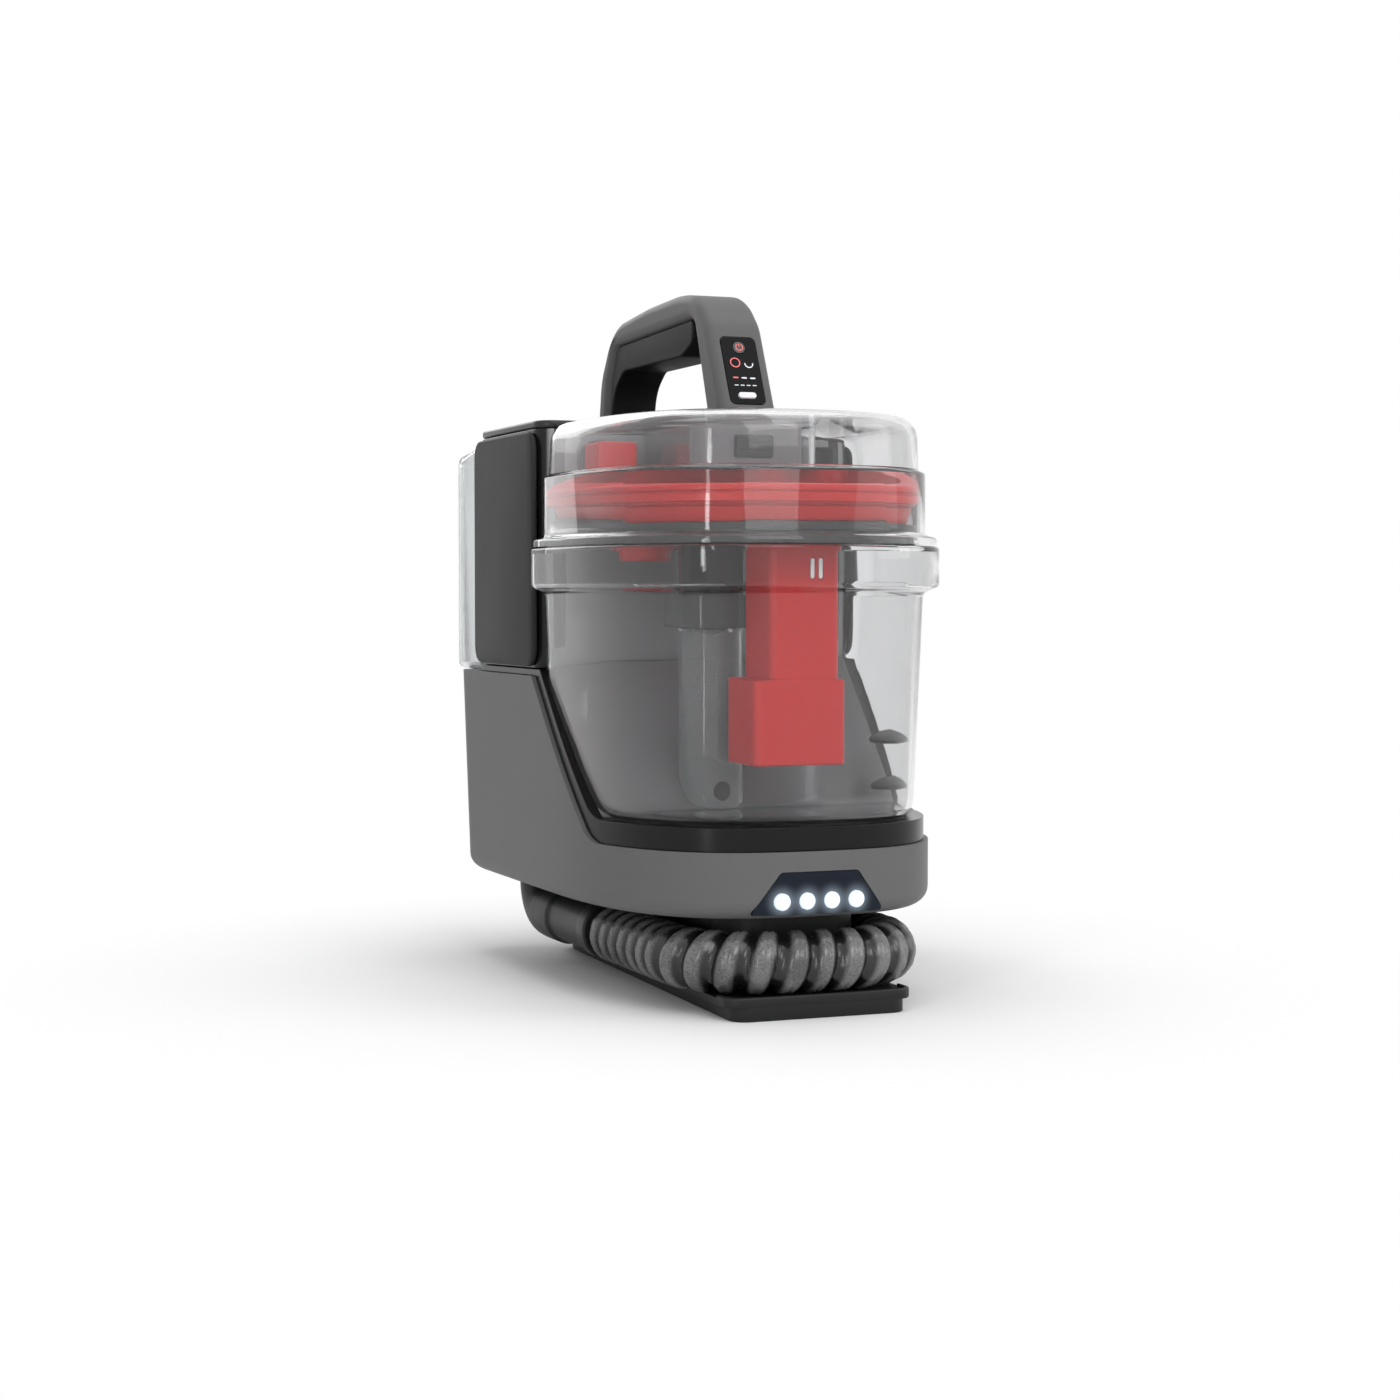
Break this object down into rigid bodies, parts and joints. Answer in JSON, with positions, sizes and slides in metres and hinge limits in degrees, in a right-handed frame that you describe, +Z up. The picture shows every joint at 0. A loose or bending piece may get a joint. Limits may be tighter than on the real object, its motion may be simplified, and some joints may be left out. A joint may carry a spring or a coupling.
{
  "type": "spot extractor",
  "caption": "Portable spot extractor for carpet and upholstery: clear domed dirty tank with red separator, rear clean tank, arched handle and ribbed hose wound round its base.",
  "frame": {"origin": "on the flat underside of the base tray, at floor level under the middle of the machine", "axes": "+Z up, -Y towards the lamps and the dirty tank, +Y towards the clean tank, +X towards the hand tool"},
  "size_m": [0.2438, 0.3348, 0.3707],
  "materials": {
    "grey": "satin",
    "dark": "satin",
    "side_grey": "satin",
    "red": "gloss",
    "clear": "clear gloss",
    "rubber": "matte",
    "hose": "satin, ribbed",
    "steel": "satin",
    "board": "matte",
    "white": "satin",
    "lamp": "gloss",
    "black_gloss": "gloss"
  },
  "bodies": {
    "machine": {"base_tray": "dark", "front_floor_pad": "rubber", "rear_floor_pad": "rubber", "pedestal": "dark", "hose_cuff": "dark", "suction_hose": "hose", "tool_cuff": "dark", "lower_housing": "grey", "bottom_plate": "dark", "light_panel": "dark", "lamp_lens": "lamp", "lamp_board": "board", "cradle_trim": "black_gloss", "appliance_inlet": "dark", "tower_shell": "black_gloss", "left_panel": "side_grey", "right_panel": "side_grey", "top_deck": "grey", "handle_shell": "grey", "handle_grip": "rubber", "display_panel": "black_gloss", "suction_motor": "steel", "motor_mount": "rubber", "fan_housing": "dark", "suction_duct": "dark", "riser_pipe": "dark", "inlet_port_seal": "rubber", "outlet_port_seal": "rubber", "water_pump": "dark", "valve_socket": "dark", "pump_tube": "clear", "control_board": "board", "tool_body": "grey", "trigger_mount": "dark", "tool_window": "clear", "tool_brush": "side_grey", "tool_dock": "dark"},
    "dirty_tank": {"tank_bucket": "clear", "tank_lid": "clear", "tank_seal": "rubber", "separator_ring": "red", "separator_duct": "red", "standpipe": "clear", "float_cage": "side_grey", "inlet_funnel": "red", "inlet_elbow": "red", "outlet_elbow": "dark", "upper_splash_fin": "side_grey", "lower_splash_fin": "side_grey"},
    "float": {"float_ball": "side_grey"},
    "clean_water_tank": {"clean_tank": "clear", "tank_valve": "dark"},
    "cap": {"fill_cap": "grey"},
    "power_button": {"power_key": "white"},
    "mode_button": {"mode_key": "white"},
    "latch": {"tank_latch": "dark"},
    "rotor": {"fan": "white", "motor_shaft": "steel"},
    "trigger": {"tool_trigger": "red"}
  },
  "joints": [
    {"name": "dirty_tank_slide", "type": "slide", "parent": "machine", "child": "dirty_tank", "axis": [0, -1, 0], "range_m": [0, 0.2]},
    {"name": "float_lift", "type": "slide", "parent": "dirty_tank", "child": "float", "axis": [0, 0, 1], "range_m": [0, 0.038]},
    {"name": "clean_tank_slide", "type": "slide", "parent": "machine", "child": "clean_water_tank", "axis": [0, 1, 0], "range_m": [0, 0.12]},
    {"name": "cap_hinge", "type": "hinge", "parent": "clean_water_tank", "child": "cap", "pos_m": [0.045, 0.16, 0.2997], "axis": [-1, 0, 0], "range_deg": [0, 110]},
    {"name": "power_press", "type": "slide", "parent": "machine", "child": "power_button", "axis": [0, 0.9088, -0.4173], "range_m": [0, 0.001], "stiffness_N_per_m": 600},
    {"name": "mode_press", "type": "slide", "parent": "machine", "child": "mode_button", "axis": [0, 0.9088, -0.4173], "range_m": [0, 0.001], "stiffness_N_per_m": 600},
    {"name": "latch_press", "type": "slide", "parent": "machine", "child": "latch", "axis": [0, 1, 0], "range_m": [0, 0.002], "stiffness_N_per_m": 800},
    {"name": "rotor_spin", "type": "hinge", "parent": "machine", "child": "rotor", "pos_m": [0, 0.055, 0.2425], "axis": [0, 0, 1], "continuous": true},
    {"name": "trigger_squeeze", "type": "hinge", "parent": "machine", "child": "trigger", "pos_m": [0.137, 0.093, 0.203], "axis": [0, 1, 0], "range_deg": [0, 7], "stiffness_Nm_per_rad": 0.4}
  ]
}
